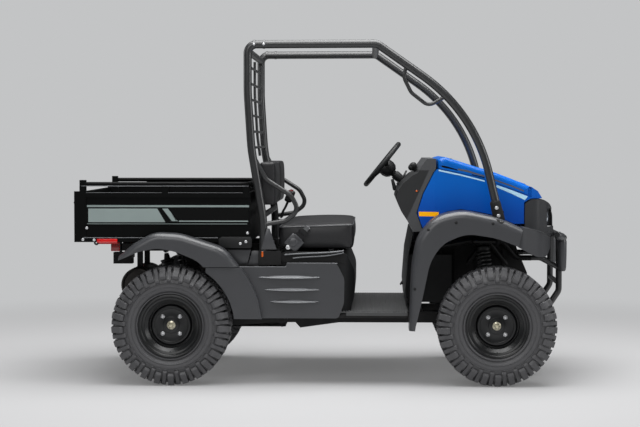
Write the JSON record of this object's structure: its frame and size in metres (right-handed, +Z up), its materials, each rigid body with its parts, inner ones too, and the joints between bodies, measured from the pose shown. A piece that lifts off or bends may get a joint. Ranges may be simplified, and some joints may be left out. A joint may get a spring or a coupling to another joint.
{
  "type": "side-by-side utility vehicle",
  "caption": "Compact two-seat utility vehicle with tubular roll cage, tipping cargo bed with tailgate, opening hood and steered front wheels on knobby tyres.",
  "frame": {"origin": "on the ground, under the middle of the vehicle's bounding box", "axes": "+X forward, +Y to the vehicle's left, +Z up"},
  "size_m": [2.67, 1.336, 1.8409],
  "materials": {
    "cowl_paint": "gloss",
    "grey_plastic": "satin",
    "cage_paint": "satin",
    "frame_paint": "satin",
    "bed_paint": "gloss",
    "seat_vinyl": "satin",
    "tyre": "matte",
    "rim_paint": "satin",
    "black_plastic": "matte",
    "floor_plastic": "matte",
    "lamp_lens": "gloss",
    "lamp_red": "gloss",
    "engine_metal": "satin",
    "muffler_steel": "satin",
    "axle_iron": "satin",
    "webbing": "matte"
  },
  "bodies": {
    "chassis": {"frame_lower": "frame_paint", "frame_front": "frame_paint", "frame_rear": "frame_paint", "floor_plate": "floor_plastic", "toe_board": "black_plastic", "seat_riser": "black_plastic", "side_cover_left": "grey_plastic", "side_cover_right": "grey_plastic", "rear_fender_left": "grey_plastic", "rear_fender_right": "grey_plastic", "front_fender_left": "grey_plastic", "front_fender_right": "grey_plastic", "hood_cowl": "cowl_paint", "front_fascia": "grey_plastic", "headlamps": "lamp_lens", "dashboard": "black_plastic", "front_guard": "cage_paint", "radiator": "engine_metal", "cage_rear": "cage_paint", "cage_front": "cage_paint", "rear_screen": "cage_paint", "seat_cushion": "seat_vinyl", "seat_backrests": "seat_vinyl", "seat_belts": "webbing", "engine": "engine_metal", "muffler": "muffler_steel", "rear_axle": "axle_iron", "rear_shocks": "frame_paint", "front_drive": "axle_iron", "lower_arms": "frame_paint", "steering_column": "black_plastic", "gear_lever": "black_plastic"},
    "bed": {"bed_tub": "bed_paint", "bed_rails": "bed_paint", "tail_lamps": "lamp_red"},
    "tailgate": {"tailgate": "bed_paint"},
    "hood": {"hood_lid": "cowl_paint"},
    "handwheel": {"steering_wheel": "black_plastic"},
    "rack": {"steering_rack": "axle_iron"},
    "knuckle_right": {"knuckle_right": "axle_iron"},
    "knuckle_left": {"knuckle_left": "axle_iron"},
    "wheel_front_right": {"tyre_front_right": "tyre", "rim_front_right": "rim_paint"},
    "wheel_front_left": {"tyre_front_left": "tyre", "rim_front_left": "rim_paint"},
    "wheel_rear_right": {"tyre_rear_right": "tyre", "rim_rear_right": "rim_paint"},
    "wheel_rear_left": {"tyre_rear_left": "tyre", "rim_rear_left": "rim_paint"}
  },
  "joints": [
    {"name": "bed_tip", "type": "hinge", "parent": "chassis", "child": "bed", "pos_m": [-1.103, 0, 0.751], "axis": [0, -1, 0], "range_deg": [0, 45]},
    {"name": "tailgate_drop", "type": "hinge", "parent": "bed", "child": "tailgate", "pos_m": [-1.317, 0, 0.773], "axis": [0, -1, 0], "range_deg": [0, 90]},
    {"name": "hood_open", "type": "hinge", "parent": "chassis", "child": "hood", "pos_m": [1.115, 0, 1.054], "axis": [0, 1, 0], "range_deg": [0, 60]},
    {"name": "steer_right", "type": "hinge", "parent": "chassis", "child": "knuckle_right", "pos_m": [0.93, -0.478, 0.2], "axis": [-0.1258, 0.1805, 0.9755], "range_deg": [-28, 28]},
    {"name": "steer_left", "type": "hinge", "parent": "chassis", "child": "knuckle_left", "pos_m": [0.93, 0.478, 0.2], "axis": [-0.1258, -0.1805, 0.9755], "range_deg": [-28.5, 28.5]},
    {"name": "handwheel_turn", "type": "hinge", "parent": "chassis", "child": "handwheel", "pos_m": [0.323, 0.28, 1.169], "axis": [-0.7771, 0, 0.6293], "range_deg": [-425, 425]},
    {"name": "rack_slide", "type": "slide", "parent": "chassis", "child": "rack", "axis": [0, -1, 0], "range_m": [-0.043, 0.043]},
    {"name": "roll_front_right", "type": "hinge", "parent": "knuckle_right", "child": "wheel_front_right", "pos_m": [0.927, -0.566, 0.318], "axis": [0, 1, 0], "continuous": true},
    {"name": "roll_front_left", "type": "hinge", "parent": "knuckle_left", "child": "wheel_front_left", "pos_m": [0.927, 0.566, 0.318], "axis": [0, 1, 0], "continuous": true},
    {"name": "roll_rear_right", "type": "hinge", "parent": "chassis", "child": "wheel_rear_right", "pos_m": [-0.811, -0.543, 0.318], "axis": [0, 1, 0], "continuous": true},
    {"name": "roll_rear_left", "type": "hinge", "parent": "chassis", "child": "wheel_rear_left", "pos_m": [-0.811, 0.543, 0.318], "axis": [0, 1, 0], "continuous": true}
  ],
  "couplings": [
    {"joint": "steer_left", "follows": "steer_right", "ratio": 1},
    {"joint": "handwheel_turn", "follows": "steer_right", "ratio": 15},
    {"joint": "rack_slide", "follows": "steer_right", "m_per_rad": 0.0855}
  ]
}
